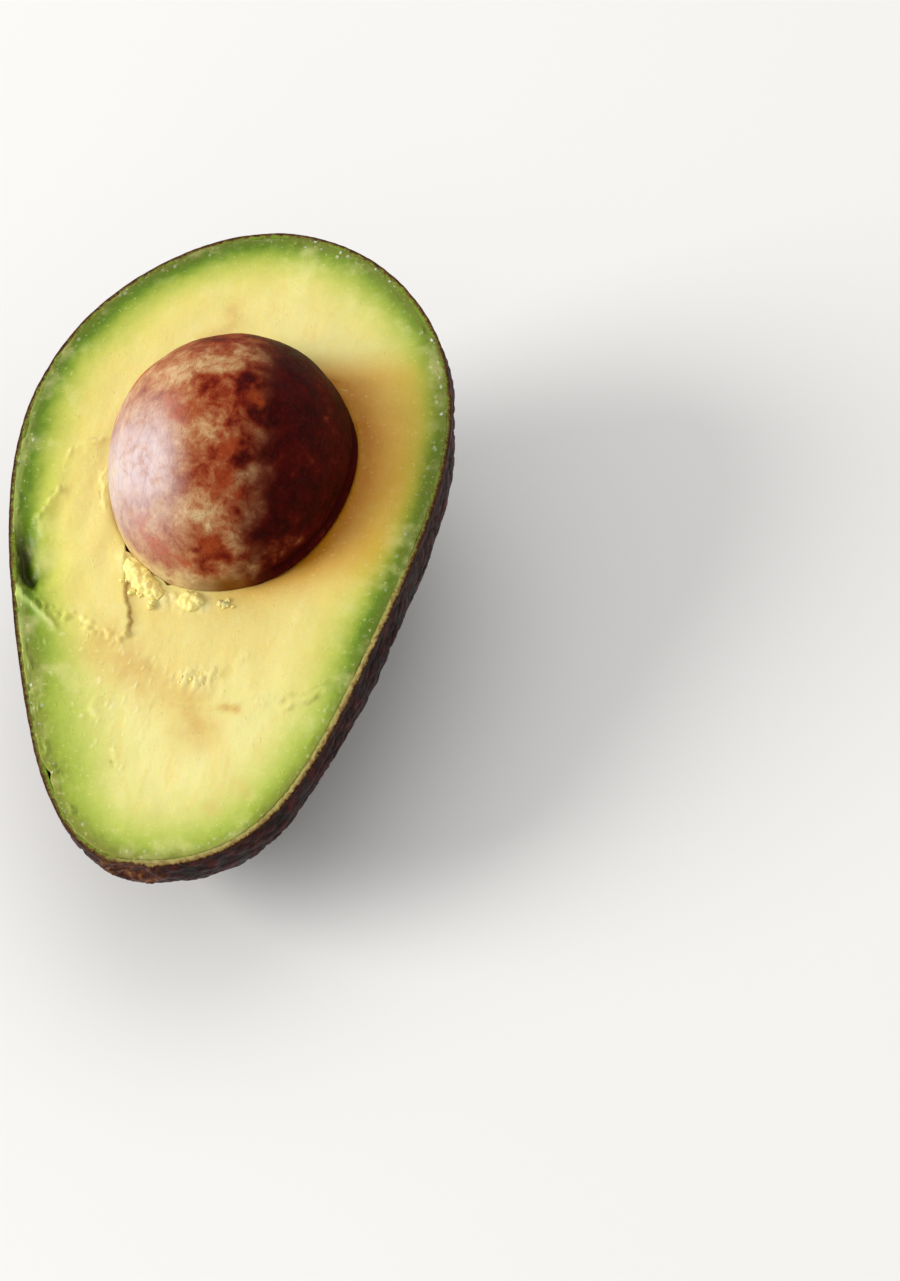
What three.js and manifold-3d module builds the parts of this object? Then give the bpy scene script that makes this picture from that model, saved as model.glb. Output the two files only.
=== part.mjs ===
// Half of a ripe Hass avocado, cut lengthwise, resting on its back with the stone still in it.
//
// Units are millimetres. In the part's frame +Z is up, +Y runs towards the fat base end and -Y
// towards the neck with the stem scar. The origin is the centre of the small flat rest spot under
// the skin. Inside the tilted `fruit` group the cut plane is z = 0.
import * as THREE from 'three';
import { mergeVertices } from 'three/addons/utils/BufferGeometryUtils.js';
import Module from 'manifold-3d';

// ---------------------------------------------------------------- driving dimensions
// the whole fruit, a pear whose flanks differ a little
const FRUIT_LENGTH = 108;
const FLANK_RIGHT = [30.7, 7.9, 6.9, -7.5];
const FLANK_LEFT = [32.3, 12.7, -1.3, -7.5];
const DEPTH_RATIO = 1.03;
const CUT_ABOVE_MIDDLE = 2.0;

// the skin and the hair-thin gap that parts it from the flesh
const SKIN_THICKNESS = 1.0;
const GAP = 0.3;

// the stone, slightly longer than wide, sunk to its widest section
const STONE_WIDTH = 37;
const STONE_LENGTH = 42;
const STONE_BLUNTNESS = 0.05;
const STONE_Y = 11;

// how the half lies: nose-down tilt, slight roll, and the depth of the flattened rest spot
const REST_TILT = 10.0;
const REST_ROLL = 0.0;
const REST_FLAT_DEPTH = 0.4;

// facets round and along each surface
const FRUIT_AROUND = 44;
const FRUIT_ALONG = 32;
const STONE_AROUND = 36;
const STONE_ALONG = 24;

// ---------------------------------------------------------------- surfaces
const toRadians = THREE.MathUtils.degToRad;

// half-width of one flank at the station whose cosine along the axis is c (+1 base, -1 neck)
function flankWidth(flank, c) {
  const s = Math.sqrt(Math.max(0, 1 - c * c));
  return s * (flank[0] + flank[1] * c + flank[2] * c * c + flank[3] * c * c * c);
}

// closed welded surface without the attributes that would keep its seam open
function weld(geometry) {
  geometry.deleteAttribute('normal');
  geometry.deleteAttribute('uv');
  return mergeVertices(geometry, 1e-4);
}

// the outside of the whole fruit, or the same surface moved inwards by `inset`
function fruitSurface(inset) {
  const surface = weld(new THREE.SphereGeometry(1, FRUIT_AROUND, FRUIT_ALONG));
  const position = surface.attributes.position;
  for (let i = 0; i < position.count; i += 1) {
    const c = THREE.MathUtils.clamp(position.getY(i), -1, 1);
    const s = Math.max(1e-9, Math.sqrt(1 - c * c));
    const across = position.getX(i) / s;
    const down = position.getZ(i) / s;
    const right = flankWidth(FLANK_RIGHT, c);
    const left = flankWidth(FLANK_LEFT, c);
    const width = across > 0 ? right : left;
    const depth = DEPTH_RATIO * 0.5 * (right + left);
    position.setXYZ(i, width * across, 0.5 * FRUIT_LENGTH * c, depth * down - CUT_ABOVE_MIDDLE);
  }
  if (inset > 0) {
    surface.computeVertexNormals();
    const normal = surface.attributes.normal;
    for (let i = 0; i < position.count; i += 1) {
      position.setXYZ(
        i,
        position.getX(i) - inset * normal.getX(i),
        position.getY(i) - inset * normal.getY(i),
        position.getZ(i) - inset * normal.getZ(i),
      );
    }
    surface.deleteAttribute('normal');
  }
  return surface;
}

// the stone, or the hollow that it leaves when `clearance` is added all round
function stoneSurface(clearance) {
  const surface = weld(new THREE.SphereGeometry(1, STONE_AROUND, STONE_ALONG));
  const position = surface.attributes.position;
  const radius = 0.5 * STONE_WIDTH + clearance;
  const reach = 0.5 * STONE_LENGTH + clearance;
  for (let i = 0; i < position.count; i += 1) {
    const c = position.getY(i);
    const girth = radius * (1 + STONE_BLUNTNESS * c * (1 - c * c));
    position.setXYZ(i, girth * position.getX(i), reach * c + STONE_Y, girth * position.getZ(i));
  }
  return surface;
}

// ---------------------------------------------------------------- solids
const wasm = await Module();
wasm.setup();

function toSolid(surface) {
  return new wasm.Manifold(new wasm.Mesh({
    numProp: 3,
    vertProperties: new Float32Array(surface.attributes.position.array),
    triVerts: new Uint32Array(surface.index.array),
  }));
}

function toGeometry(solid) {
  const mesh = solid.getMesh();
  const geometry = new THREE.BufferGeometry();
  geometry.setAttribute('position', new THREE.BufferAttribute(new Float32Array(mesh.vertProperties), 3));
  geometry.setIndex(new THREE.BufferAttribute(new Uint32Array(mesh.triVerts), 1));
  return geometry;
}

function blockSurface(width, length, height, centre, turn) {
  const block = weld(new THREE.BoxGeometry(width, length, height));
  block.translate(centre.x, centre.y, centre.z);
  block.applyQuaternion(turn);
  return block;
}

const level = new THREE.Quaternion();
const restTurn = new THREE.Quaternion().setFromEuler(
  new THREE.Euler(toRadians(REST_TILT), toRadians(REST_ROLL), 0),
);
const REACH = 2 * FRUIT_LENGTH;

// everything under the cut plane
const belowCut = toSolid(blockSurface(REACH, REACH, REACH, new THREE.Vector3(0, 0, -0.5 * REACH), level));

// the floor that flattens the rest spot, square to the tilted vertical
const outside = fruitSurface(0);
let lowest = Infinity;
const probe = new THREE.Vector3();
for (let i = 0; i < outside.attributes.position.count; i += 1) {
  probe.fromBufferAttribute(outside.attributes.position, i).applyQuaternion(restTurn);
  lowest = Math.min(lowest, probe.z);
}
const floorHeight = lowest + REST_FLAT_DEPTH;
const underFloor = toSolid(blockSurface(
  REACH,
  REACH,
  REACH,
  new THREE.Vector3(0, 0, floorHeight - 0.5 * REACH),
  restTurn.clone().invert(),
));

const skinSolid = toSolid(outside)
  .subtract(toSolid(fruitSurface(SKIN_THICKNESS)))
  .intersect(belowCut)
  .subtract(underFloor);
const fleshSolid = toSolid(fruitSurface(SKIN_THICKNESS + GAP))
  .intersect(belowCut)
  .subtract(toSolid(stoneSurface(GAP)));
const stoneSolid = toSolid(stoneSurface(0));

// ---------------------------------------------------------------- pieces
const skin = new THREE.Mesh(
  toGeometry(skinSolid),
  new THREE.MeshStandardMaterial({ color: 0x24150f, roughness: 0.45, metalness: 0 }),
);
skin.name = 'skin';

const flesh = new THREE.Mesh(
  toGeometry(fleshSolid),
  new THREE.MeshStandardMaterial({ color: 0xdcc96f, roughness: 0.4, metalness: 0 }),
);
flesh.name = 'flesh';

const stone = new THREE.Mesh(
  toGeometry(stoneSolid),
  new THREE.MeshStandardMaterial({ color: 0x7d4632, roughness: 0.5, metalness: 0 }),
);
stone.name = 'stone';

// centre of the flattened spot, which becomes the part's origin
const flatBox = new THREE.Box3();
const skinPosition = skin.geometry.attributes.position;
for (let i = 0; i < skinPosition.count; i += 1) {
  probe.fromBufferAttribute(skinPosition, i).applyQuaternion(restTurn);
  if (Math.abs(probe.z - floorHeight) < 1e-3) {
    flatBox.expandByPoint(probe);
  }
}
const restSpot = flatBox.getCenter(new THREE.Vector3());

const fruit = new THREE.Group();
fruit.name = 'fruit';
fruit.quaternion.copy(restTurn);
fruit.position.set(-restSpot.x, -restSpot.y, -floorHeight);
fruit.add(skin, flesh, stone);

const part = new THREE.Group();
part.name = 'avocado_half';
part.add(fruit);

export default part;
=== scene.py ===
"""Half an avocado with its stone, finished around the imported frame.

Shapes are worked out in millimetres in the fruit's own frame, where the cut plane is z = 0, +Y runs
to the fat base and -Y to the neck, and are then turned and moved to where the half rests.
"""
import math

import bpy
import numpy as np
from mathutils import Matrix, Vector


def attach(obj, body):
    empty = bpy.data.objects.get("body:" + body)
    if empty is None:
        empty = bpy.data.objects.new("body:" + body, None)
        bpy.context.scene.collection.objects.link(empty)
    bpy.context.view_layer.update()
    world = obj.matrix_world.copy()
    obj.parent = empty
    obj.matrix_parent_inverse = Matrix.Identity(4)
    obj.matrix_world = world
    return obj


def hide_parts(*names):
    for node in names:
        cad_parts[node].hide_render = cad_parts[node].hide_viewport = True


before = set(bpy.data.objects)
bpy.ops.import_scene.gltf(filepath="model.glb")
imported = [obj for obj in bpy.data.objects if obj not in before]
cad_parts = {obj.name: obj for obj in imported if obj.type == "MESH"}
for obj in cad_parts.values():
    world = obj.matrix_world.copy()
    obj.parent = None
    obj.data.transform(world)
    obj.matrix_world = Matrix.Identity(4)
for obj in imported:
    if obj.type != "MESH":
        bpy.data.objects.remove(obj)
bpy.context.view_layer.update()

# ------------------------------------------------------------------ dimensions (mm, fruit frame)
FRUIT_LENGTH = 108.0
# half widths: coefficients of a cubic in c, which runs from -1 at the neck to 1 at the base
FLANK_RIGHT = (30.7, 7.9, 6.9, -7.5)
FLANK_LEFT = (32.3, 12.7, -1.3, -7.5)
DEPTH_RATIO = 1.03
CUT_ABOVE_MIDDLE = 2.0
SKIN_THICKNESS = 1.0
STONE_WIDTH = 37.0
STONE_LENGTH = 42.0
STONE_BLUNTNESS = 0.05
STONE_Y = 11.0
STONE_CENTRE = np.array([0.0, STONE_Y, 0.0])

# where the fruit frame sits in the part's frame
REST_TILT = math.radians(10.0)
FRUIT_OFFSET = (0.122, -7.402, 33.522)

# ------------------------------------------------------------------ camera (mm, part's frame)
CAMERA_AIM = (36.36, -12.47, 21.37)
CAMERA_DISTANCE = 428.0
CAMERA_AZIMUTH = math.radians(18.05)
CAMERA_ELEVATION = math.radians(52.86)
CAMERA_ROLL = math.radians(-6.83)
CAMERA_LENS = 80.94
CAMERA_SENSOR = 36.0

MM = 0.001

# ------------------------------------------------------------------ numbers
# a steady integer hash, the same on every run
HASH_PRIMES = np.array([73856093, 19349663, 83492791])
HASH_SEED = 2654435761
HASH_STRIDE = 1013904223
HASH_MIX = 0x45D9F3B
WORD = 0xFFFFFFFF
NOISE_GAIN = 1.4
# further than the nearest seed of a cell can be, in units of its size
FAR = 9.0
# half the angle between the points from which a normal is worked out
NORMAL_STEP = 1e-3
RIM_ROUNDS = 12
STONE_TABLE = 2001
DISTANCE_SLICE = 8000


def smooth(low, high, value):
    """0 below low, 1 above high, with an eased ramp between."""
    t = np.clip((value - low) / (high - low), 0.0, 1.0)
    return t * t * (3.0 - 2.0 * t)


def bell(distance, width):
    """1 at no distance, falling off smoothly to about a third at the given width."""
    return np.exp(-(distance / width) ** 2)


def hashed(lattice, seed):
    """Three steady pseudo-random numbers in 0..1 for each integer lattice point (N, 3)."""
    c = lattice.astype(np.int64) * HASH_PRIMES
    mixed = c[..., 0] ^ c[..., 1] ^ c[..., 2] ^ (seed * HASH_SEED)
    out = []
    for shift in range(3):
        v = (mixed + shift * HASH_STRIDE) & WORD
        for _ in range(2):
            v = ((v ^ (v >> 16)) * HASH_MIX) & WORD
        out.append((v ^ (v >> 16)) / WORD)
    return np.stack(out, -1)


def noise(points, size, seed):
    """Smooth gradient noise, about -0.7..0.7, with features of the given size."""
    p = points / size
    base = np.floor(p)
    f = p - base
    u = f * f * f * (f * (f * 6.0 - 15.0) + 10.0)
    total = np.zeros(len(p))
    for corner in np.ndindex(2, 2, 2):
        k = np.array(corner, float)
        gradient = hashed(base + k, seed) * 2.0 - 1.0
        weight = np.prod(np.where(k > 0, u, 1.0 - u), axis=1)
        total += weight * ((f - k) * gradient).sum(1)
    return total * NOISE_GAIN


def warp(points, size, seed):
    """A smooth random vector for each point, made of three noises with seeds that follow on."""
    return np.stack([noise(points, size, seed + i) for i in range(3)], 1)


def layered(points, size, seed, octaves=4, fade=0.5):
    """Noise with finer and finer layers added."""
    total = np.zeros(len(points))
    gain = 1.0
    for i in range(octaves):
        total += gain * noise(points, size * 0.5 ** i, seed + 17 * i)
        gain *= fade
    return total


def cells(points, size, seed):
    """Distances to the nearest and second nearest scattered seed, in units of size."""
    p = points / size
    base = np.floor(p)
    near = np.full(len(p), FAR)
    second = np.full(len(p), FAR)
    for step in np.ndindex(3, 3, 3):
        cell = base + np.array(step, float) - 1.0
        d = np.sqrt(((cell + hashed(cell, seed) - p) ** 2).sum(1))
        second = np.minimum(second, np.maximum(near, d))
        near = np.minimum(near, d)
    return near, second


def path_distance(x, y, path):
    """Distance to a polyline, how far along it (0..1), and the side (+ to the left of travel)."""
    path = np.array(path, float)
    lengths = np.linalg.norm(np.diff(path, axis=0), axis=1)
    starts = np.r_[0.0, np.cumsum(lengths)]
    best = np.full(len(x), np.inf)
    along = np.zeros(len(x))
    side = np.ones(len(x))
    for i in range(len(lengths)):
        ax, ay = path[i]
        dx, dy = (path[i + 1] - path[i]) / lengths[i]
        t = np.clip((x - ax) * dx + (y - ay) * dy, 0.0, lengths[i])
        d = np.hypot(x - ax - t * dx, y - ay - t * dy)
        closer = d < best
        best = np.where(closer, d, best)
        along = np.where(closer, (starts[i] + t) / starts[-1], along)
        side = np.where(closer, np.sign(dx * (y - ay) - dy * (x - ax)), side)
    return best, along, side


def inside(x, y, polygon):
    """True where points lie within a closed polygon."""
    polygon = np.array(polygon, float)
    result = np.zeros(len(x), bool)
    for (ax, ay), (bx, by) in zip(polygon, np.roll(polygon, -1, axis=0)):
        spans = (ay > y) != (by > y)
        run = by - ay if by != ay else 1.0
        result ^= spans & (x < ax + (bx - ax) * (y - ay) / run)
    return result


# ------------------------------------------------------------------ the fruit's form
def cubic(coefficients, c):
    """A cubic polynomial in c, lowest power first."""
    a, b, d, e = coefficients
    return a + c * (b + c * (d + c * e))


def fruit_point(direction):
    """The outside of the whole fruit in a given direction of the unit sphere."""
    c = np.clip(direction[..., 1], -1.0, 1.0)
    right = cubic(FLANK_RIGHT, c)
    left = cubic(FLANK_LEFT, c)
    across = direction[..., 0]
    x = across * np.where(across > 0, right, left)
    y = 0.5 * FRUIT_LENGTH * c
    z = direction[..., 2] * DEPTH_RATIO * 0.5 * (right + left) - CUT_ABOVE_MIDDLE
    return np.stack([x, y, z], -1)


def bowl_direction(turn, drop):
    """Unit direction at an angle `drop` from straight down, turned by `turn` about the vertical."""
    return np.stack(
        [np.sin(drop) * np.cos(turn), np.sin(drop) * np.sin(turn), -np.cos(drop)], -1
    )


def bowl_normal(turn, drop):
    """Outward normal of the fruit's outside, from differences over a small angle."""
    e = NORMAL_STEP
    lower = fruit_point(bowl_direction(turn, drop - e))
    along = fruit_point(bowl_direction(turn, drop + e)) - lower
    before = fruit_point(bowl_direction(turn - e, drop))
    around = fruit_point(bowl_direction(turn + e, drop)) - before
    n = np.cross(around, along)
    return n / np.maximum(np.linalg.norm(n, axis=-1, keepdims=True), 1e-12)


def rim_drop(turn):
    """The angle at which the outside meets the cut plane, found by repeated correction."""
    drop = np.full(turn.shape, 0.5 * math.pi)
    for _ in range(RIM_ROUNDS):
        c = np.sin(drop) * np.sin(turn)
        reach = DEPTH_RATIO * 0.5 * (cubic(FLANK_RIGHT, c) + cubic(FLANK_LEFT, c))
        drop = np.arccos(-CUT_ABOVE_MIDDLE / reach)
    return drop


def full_turn(columns):
    """Evenly spaced angles once round."""
    return np.linspace(0.0, 2.0 * math.pi, columns, endpoint=False)


def bowl_rings(turn, rim, shares, inset=0.0):
    """Rings at the given shares of the way from the bowl's foot to its rim, and their normals."""
    drops = shares[:, None] * rim[None, :]
    turns = np.broadcast_to(turn, drops.shape)
    normal = bowl_normal(turns, drops)
    return fruit_point(bowl_direction(turns, drops)) - inset * normal, normal


def stone_girth(c):
    """The stone's half width at c, -1 at its neck end and 1 at its base end."""
    return 0.5 * STONE_WIDTH * (1.0 + STONE_BLUNTNESS * c * (1.0 - c * c))


def contact_radius(angle):
    """Distance from the stone's centre to its edge in the cut plane."""
    c = np.linspace(-1.0, 1.0, STONE_TABLE)
    x = stone_girth(c) * np.sqrt(1.0 - c * c)
    y = 0.5 * STONE_LENGTH * c
    folded = np.arctan2(np.sin(angle), np.abs(np.cos(angle)))
    return np.interp(folded, np.arctan2(y, x), np.hypot(x, y))


# ------------------------------------------------------------------ mesh making
def to_part(points):
    """Fruit frame in mm to the part's frame in metres, with nothing below the floor."""
    c = math.cos(REST_TILT)
    s = math.sin(REST_TILT)
    x, y, z = points[:, 0], points[:, 1], points[:, 2]
    turned = np.stack([x, y * c - z * s, y * s + z * c], 1) + np.array(FRUIT_OFFSET)
    turned[:, 2] = np.maximum(turned[:, 2], 0.0)
    return turned * MM


def build_mesh(name, points, quads, triangles, attributes, material):
    """One smooth-shaded object from numpy arrays, with per-vertex numbers for its material."""
    mesh = bpy.data.meshes.new(name)
    corner_count = 4 * len(quads) + 3 * len(triangles)
    mesh.vertices.add(len(points))
    mesh.vertices.foreach_set("co", points.astype(np.float32).ravel())
    mesh.loops.add(corner_count)
    corners = np.concatenate([quads.ravel(), triangles.ravel()]).astype(np.int32)
    mesh.loops.foreach_set("vertex_index", corners)
    sizes = np.r_[np.full(len(quads), 4), np.full(len(triangles), 3)].astype(np.int32)
    mesh.polygons.add(len(sizes))
    mesh.polygons.foreach_set("loop_start", np.r_[0, np.cumsum(sizes)[:-1]].astype(np.int32))
    mesh.update(calc_edges=True)
    mesh.validate()
    mesh.shade_smooth()
    for key, values in attributes.items():
        layer = mesh.attributes.new(key, "FLOAT", "POINT")
        layer.data.foreach_set("value", values.astype(np.float32))
    mesh.materials.append(material)
    piece = bpy.data.objects.new(name, mesh)
    bpy.context.scene.collection.objects.link(piece)
    return piece


def ring_faces(rows, columns):
    """Quads between stacked closed rings of vertices, plus fans that close both ends."""
    i, j = np.meshgrid(np.arange(rows - 1), np.arange(columns), indexing="ij")
    k = (j + 1) % columns
    lower, upper = i * columns, (i + 1) * columns
    quads = np.stack([lower + j, lower + k, upper + k, upper + j], -1)
    first, last = rows * columns, rows * columns + 1
    ring = np.arange(columns)
    onward = (ring + 1) % columns
    top = (rows - 1) * columns
    start = np.stack([np.full(columns, first), onward, ring], -1)
    end = np.stack([np.full(columns, last), top + ring, top + onward], -1)
    return quads.reshape(-1, 4), np.concatenate([start, end])


def close_rings(grid):
    """Flat vertex list of a (rows, columns, k) grid, with a centre vertex added for each end."""
    flat = grid.reshape(-1, grid.shape[-1])
    return np.vstack([flat, grid[0].mean(0), grid[-1].mean(0)])


def ring_mesh(name, grid, fields, material):
    """A closed piece from stacked rings in the fruit frame and the fields its material reads."""
    data = close_rings(np.dstack([grid, *fields.values()]))
    quads, triangles = ring_faces(*grid.shape[:2])
    attributes = {key: data[:, 3 + i] for i, key in enumerate(fields)}
    return build_mesh(name, to_part(data[:, :3]), quads, triangles, attributes, material)


def polar_grid(rows, columns, first):
    """Angles from and about a pole, from `first` radians short of it to as far from the other."""
    drop = np.linspace(first, math.pi - first, rows)
    return np.meshgrid(drop, full_turn(columns), indexing="ij")


# ------------------------------------------------------------------ materials
class Shader:
    """A Principled material and short ways to add nodes to it."""

    def __init__(self, name):
        self.material = bpy.data.materials.new(name)
        self.material.use_nodes = True
        self.tree = self.material.node_tree
        self.surface = self.tree.nodes["Principled BSDF"]

    def put(self, socket, value):
        """Links a socket's value, or sets a plain one."""
        if isinstance(value, bpy.types.NodeSocket):
            self.tree.links.new(value, socket)
        else:
            socket.default_value = value

    def node(self, kind, inputs, **settings):
        """A new node with its inputs and settings."""
        made = self.tree.nodes.new(kind)
        for key, value in settings.items():
            setattr(made, key, value)
        for key, value in inputs.items():
            self.put(made.inputs[key], value)
        return made

    def set(self, **values):
        """Sets or links inputs of the Principled shader."""
        for key, value in values.items():
            self.put(self.surface.inputs[key.replace("_", " ")], value)

    def attribute(self, name):
        return self.node("ShaderNodeAttribute", {}, attribute_name=name).outputs["Fac"]

    def place(self, scale=(1.0, 1.0, 1.0)):
        """Object coordinates in millimetres, stretched by scale."""
        source = self.node("ShaderNodeTexCoord", {}).outputs["Object"]
        return self.node(
            "ShaderNodeMapping", {"Vector": source, "Scale": [1000.0 * s for s in scale]}
        ).outputs["Vector"]

    def noise(self, size, where=None, detail=3.0, rough=0.55, distortion=0.0):
        return self.node(
            "ShaderNodeTexNoise",
            {
                "Vector": where or self.place(),
                "Scale": 1.0 / size,
                "Detail": detail,
                "Roughness": rough,
                "Distortion": distortion,
            },
        ).outputs["Fac"]

    def cells(self, size, feature="F1", where=None):
        return self.node(
            "ShaderNodeTexVoronoi",
            {"Vector": where or self.place(), "Scale": 1.0 / size},
            feature=feature,
        ).outputs["Distance"]

    def math(self, operation, a, b=0.0, clamp=False):
        made = self.node("ShaderNodeMath", {}, operation=operation, use_clamp=clamp)
        self.put(made.inputs[0], a)
        self.put(made.inputs[1], b)
        return made.outputs[0]

    def times(self, a, b):
        return self.math("MULTIPLY", a, b)

    def plus(self, a, b):
        return self.math("ADD", a, b)

    def band(self, value, low, high, out_low=0.0, out_high=1.0):
        """Eased remap of value from low..high to out_low..out_high."""
        return self.node(
            "ShaderNodeMapRange",
            {
                "Value": value,
                "From Min": low,
                "From Max": high,
                "To Min": out_low,
                "To Max": out_high,
            },
            interpolation_type="SMOOTHSTEP",
        ).outputs["Result"]

    def mix(self, factor, a, b):
        made = self.node("ShaderNodeMix", {}, data_type="RGBA")
        self.put(made.inputs["Factor"], factor)
        self.put(made.inputs[6], colour(a))
        self.put(made.inputs[7], colour(b))
        return made.outputs[2]

    def ramp(self, value, stops):
        made = self.node("ShaderNodeValToRGB", {"Fac": value})
        elements = made.color_ramp.elements
        while len(elements) > 1:
            elements.remove(elements[-1])
        for i, (at, tint) in enumerate(stops):
            element = elements[0] if i == 0 else elements.new(at)
            element.position = at
            element.color = colour(tint)
        return made.outputs["Color"]

    def bump(self, height, depth_mm, after=None):
        inputs = {"Height": height, "Distance": depth_mm * MM}
        if after is not None:
            inputs["Normal"] = after
        return self.node("ShaderNodeBump", inputs).outputs["Normal"]


def colour(value):
    """Passes sockets through; turns an (r, g, b) of 0..255 display values into linear RGBA."""
    if isinstance(value, bpy.types.NodeSocket):
        return value
    linear = [c / 255.0 / 12.92 if c <= 10 else ((c / 255.0 + 0.055) / 1.055) ** 2.4 for c in value]
    return (*linear, 1.0)


def flesh_material():
    """Buttery flesh: deep green under the skin, yellow-green, then golden yellow at the stone, with
    painted amber shadow beside it.
    """
    s = Shader("flesh_cut")
    drift = s.times(s.math("SUBTRACT", s.noise(11.0), 0.5), 2.6)
    fine = s.times(s.math("SUBTRACT", s.noise(1.4), 0.5), 1.3)
    depth = s.plus(s.plus(s.attribute("rim_mm"), drift), fine)
    share = s.math("DIVIDE", depth, 20.0, clamp=True)
    body = s.ramp(
        share,
        [
            (0.0, (104, 116, 34)),
            (0.045, (92, 118, 12)),
            (0.085, (100, 132, 22)),
            (0.13, (138, 162, 46)),
            (0.19, (176, 188, 74)),
            (0.28, (206, 206, 98)),
            (0.4, (229, 217, 122)),
            (0.6, (236, 221, 138)),
            (1.0, (235, 216, 134)),
        ],
    )
    neck = s.ramp(
        share,
        [
            (0.0, (132, 138, 54)),
            (0.05, (146, 162, 58)),
            (0.1, (166, 184, 70)),
            (0.2, (192, 203, 96)),
            (0.3, (212, 213, 118)),
            (0.45, (229, 223, 140)),
            (0.65, (238, 229, 154)),
            (1.0, (237, 226, 146)),
        ],
    )
    base = s.mix(s.attribute("neck"), body, neck)
    cloudy = s.band(s.noise(6.0, detail=4.0), 0.5, 0.72, 0.0, 0.35)
    base = s.mix(cloudy, base, (240, 233, 160))
    threads = s.noise(2.4, s.place((1.0, 0.3, 1.0)), detail=4.0, rough=0.6, distortion=0.6)
    ripe = s.band(depth, 5.0, 9.0)
    dark_thread = s.band(threads, 0.48, 0.68, 0.0, 0.3)
    base = s.mix(s.times(dark_thread, ripe), base, (230, 200, 110))
    pale_thread = s.band(threads, 0.46, 0.3, 0.0, 0.25)
    base = s.mix(s.times(pale_thread, ripe), base, (244, 234, 164))
    # amber tone: partly riper flesh, partly a painted shadow of the stone, darkest next to the
    # stone
    ripe_and_shadow = s.times(s.attribute("ripe_and_shadow"), s.band(s.noise(7.0), 0.25, 0.7, 0.88, 1.0))
    amber_and_shade = s.ramp(
        ripe_and_shadow, [(0.0, (236, 172, 20)), (0.6, (228, 156, 8)), (0.95, (192, 122, 3))]
    )
    base = s.mix(ripe_and_shadow, base, amber_and_shade)
    stain = s.attribute("stain")
    stain = s.times(stain, s.band(s.noise(3.0, detail=4.0), 0.32, 0.68, 0.55, 0.95))
    base = s.mix(stain, base, (218, 180, 100))
    fleck = s.band(s.noise(0.55, detail=2.0), 0.62, 0.74, 0.0, 0.3)
    base = s.mix(fleck, base, (242, 236, 172))
    # pale is partly paler mashed flesh and crumbs, partly painted highlights and glints
    pale = s.attribute("pale")
    pale_and_highlight = s.mix(s.band(depth, 1.0, 4.5), (196, 218, 122), (246, 240, 178))
    base = s.mix(pale, base, pale_and_highlight)
    # painted shade in hollows, seams and at the foot of tears: olive near the rim, amber-brown
    # further in
    hollow_shade_tint = s.mix(s.band(depth, 5.0, 10.0), (38, 40, 3), (158, 98, 10))
    base = s.mix(s.attribute("hollow_shade"), base, s.mix(0.85, base, hollow_shade_tint))

    # painted glints: white flecks where juice beads up under the skin
    drop = s.band(s.cells(1.3, where=s.place((1.0, 0.8, 1.0))), 0.12, 0.3, 1.0, 0.0)
    bead_glint = s.times(drop, s.attribute("bead_glint"))
    bead_glint = s.times(bead_glint, s.band(s.noise(2.0), 0.42, 0.56))
    base = s.mix(bead_glint, base, (240, 246, 214))
    s.set(Base_Color=base)
    s.set(Roughness=s.band(s.noise(1.1, detail=4.0), 0.3, 0.7, 0.24, 0.5))
    s.set(Subsurface_Weight=0.35, Subsurface_Scale=0.0012, Subsurface_Radius=(1.0, 0.6, 0.15))
    s.set(Coat_Weight=0.1, Coat_Roughness=0.14, IOR=1.42, Specular_IOR_Level=0.18)
    grain = s.bump(s.noise(0.8, detail=5.0, rough=0.6), 0.07)
    beads = s.band(s.cells(0.5, where=s.place((1.0, 0.6, 1.0))), 0.0, 0.4, 1.0, 0.0)
    patchy = s.times(beads, s.band(s.noise(2.2), 0.52, 0.7))
    raised = s.bump(patchy, 0.08, after=grain)
    s.set(Normal=s.bump(bead_glint, 0.25, after=raised))
    return s.material


def crumb_material():
    """Pale broken flesh."""
    s = Shader("flesh_crumbs")
    base = s.mix(s.noise(0.8), (252, 226, 120), (255, 242, 172))
    s.set(Base_Color=base, Roughness=s.band(s.noise(0.4), 0.3, 0.7, 0.3, 0.55))
    s.set(Subsurface_Weight=0.35, Subsurface_Scale=0.0007, Subsurface_Radius=(1.0, 0.75, 0.35))
    s.set(Specular_IOR_Level=0.3)
    s.set(Normal=s.bump(s.noise(0.3, detail=4.0), 0.06))
    return s.material


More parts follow.
